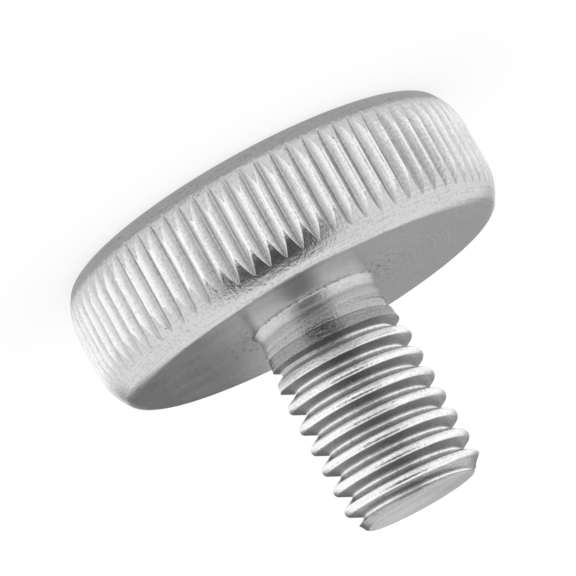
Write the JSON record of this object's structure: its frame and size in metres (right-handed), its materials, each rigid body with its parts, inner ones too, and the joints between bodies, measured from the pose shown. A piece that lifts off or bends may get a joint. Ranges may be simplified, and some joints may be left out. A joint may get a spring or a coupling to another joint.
{
  "type": "thumb screw",
  "caption": "Plated steel thumb screw: thick disc head with a straight-knurled rim and a short threaded shank, turned by hand to clamp or fasten.",
  "frame": {"origin": "centre of the head's flat top, on which the screw stands", "axes": "+Z along the screw's axis from the head's top to the threaded tip; +X and +Y across the head, the thread groove crosses +X at the neck's end"},
  "size_m": [0.0151, 0.015, 0.012],
  "materials": {
    "plated_steel": "bright plated, turned and knurled"
  },
  "bodies": {
    "root": {"thumb_screw": "plated_steel"}
  },
  "joints": []
}
